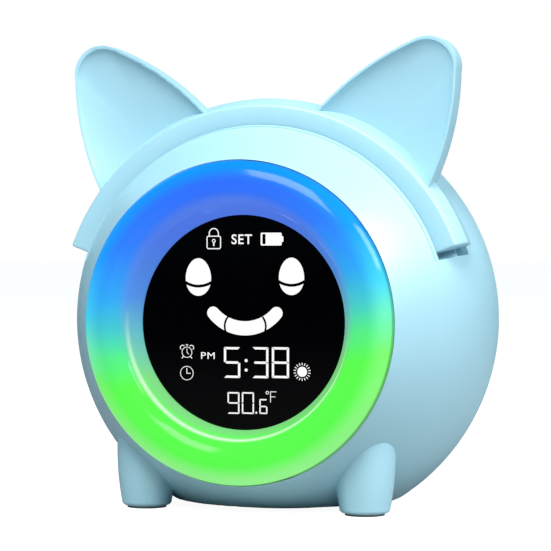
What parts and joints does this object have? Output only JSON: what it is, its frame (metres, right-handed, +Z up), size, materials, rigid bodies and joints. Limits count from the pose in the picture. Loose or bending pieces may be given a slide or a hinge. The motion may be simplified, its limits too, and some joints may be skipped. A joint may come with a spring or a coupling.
{
  "type": "kids alarm clock with night light",
  "caption": "Ball-shaped children's alarm clock with a round display inside a glowing light ring, two ears on a press-down headband, front feet and rear keys.",
  "frame": {"origin": "middle of the clock's footprint box, on the surface that it stands on", "axes": "+Z up, -Y the side with the display, +X to the right of someone facing the display"},
  "size_m": [0.12, 0.102, 0.1288],
  "materials": {
    "shell_blue": "satin moulded",
    "diffuser": "milky gloss",
    "window_black": "high gloss",
    "panel_glass": "polished",
    "white_plastic": "satin moulded",
    "board_green": "solder mask",
    "led_white": "clear",
    "chip_black": "matt",
    "connector_cream": "matt",
    "can_metal": "bright",
    "key_blue": "satin",
    "plunger_black": "matt",
    "speaker_black": "matt",
    "speaker_paper": "paper",
    "magnet_steel": "plated",
    "cell_wrap": "sleeve",
    "rubber_grey": "matt",
    "screw_steel": "zinc plated"
  },
  "bodies": {
    "case": {"backlight": "white_plastic", "base_pad": "rubber_grey", "battery_cell": "cell_wrap", "battery_cradle": "white_plastic", "battery_straps": "white_plastic", "battery_terminals": "can_metal", "board_chips": "chip_black", "board_connectors": "connector_cream", "capacitors": "can_metal", "case_screws": "screw_steel", "charging_board": "board_green", "charging_board_screws": "screw_steel", "charging_socket": "can_metal", "clock_crystal": "can_metal", "display_frame": "white_plastic", "display_frame_screws": "screw_steel", "display_panel": "panel_glass", "display_window": "window_black", "foot_pads": "rubber_grey", "front_shell": "shell_blue", "headband_springs": "screw_steel", "inner_reflector": "white_plastic", "key_board": "board_green", "key_board_screws": "screw_steel", "key_switches": "chip_black", "left_foot": "shell_blue", "light_board": "board_green", "light_ring": "diffuser", "main_board": "board_green", "main_board_screws": "screw_steel", "outer_reflector": "white_plastic", "rear_cover": "shell_blue", "right_foot": "shell_blue", "ring_leds": "led_white", "snooze_board": "board_green", "snooze_board_screws": "screw_steel", "snooze_switch": "chip_black", "socket_tongue": "chip_black", "speaker_basket": "speaker_black", "speaker_clamps": "white_plastic", "speaker_cone": "speaker_paper", "speaker_magnet": "magnet_steel", "speaker_screws": "screw_steel", "temperature_sensor": "chip_black"},
    "headband": {"headband": "shell_blue", "left_ear": "shell_blue", "right_ear": "shell_blue", "headband_washers": "screw_steel", "headband_screws": "screw_steel", "snooze_plunger": "plunger_black"},
    "mode_key": {"mode_key": "key_blue", "mode_plunger": "plunger_black"},
    "down_key": {"down_key": "key_blue", "down_plunger": "plunger_black"},
    "light_key": {"light_key": "key_blue", "light_plunger": "plunger_black"},
    "up_key": {"up_key": "key_blue", "up_plunger": "plunger_black"},
    "alarm_key": {"alarm_key": "key_blue", "alarm_plunger": "plunger_black"}
  },
  "joints": [
    {"name": "headband_press", "type": "slide", "parent": "case", "child": "headband", "axis": [0, 0, -1], "range_m": [0, 0.001], "stiffness_N_per_m": 400, "springref_m": -0.004, "deforming": ["headband_springs"]},
    {"name": "mode_key_press", "type": "slide", "parent": "case", "child": "mode_key", "axis": [0, -1, 0], "range_m": [0, 0.0006], "stiffness_N_per_m": 500, "springref_m": -0.0006},
    {"name": "down_key_press", "type": "slide", "parent": "case", "child": "down_key", "axis": [0, -1, 0], "range_m": [0, 0.0006], "stiffness_N_per_m": 500, "springref_m": -0.0006},
    {"name": "light_key_press", "type": "slide", "parent": "case", "child": "light_key", "axis": [0, -1, 0], "range_m": [0, 0.0006], "stiffness_N_per_m": 500, "springref_m": -0.0006},
    {"name": "up_key_press", "type": "slide", "parent": "case", "child": "up_key", "axis": [0, -1, 0], "range_m": [0, 0.0006], "stiffness_N_per_m": 500, "springref_m": -0.0006},
    {"name": "alarm_key_press", "type": "slide", "parent": "case", "child": "alarm_key", "axis": [0, -1, 0], "range_m": [0, 0.0006], "stiffness_N_per_m": 500, "springref_m": -0.0006}
  ]
}
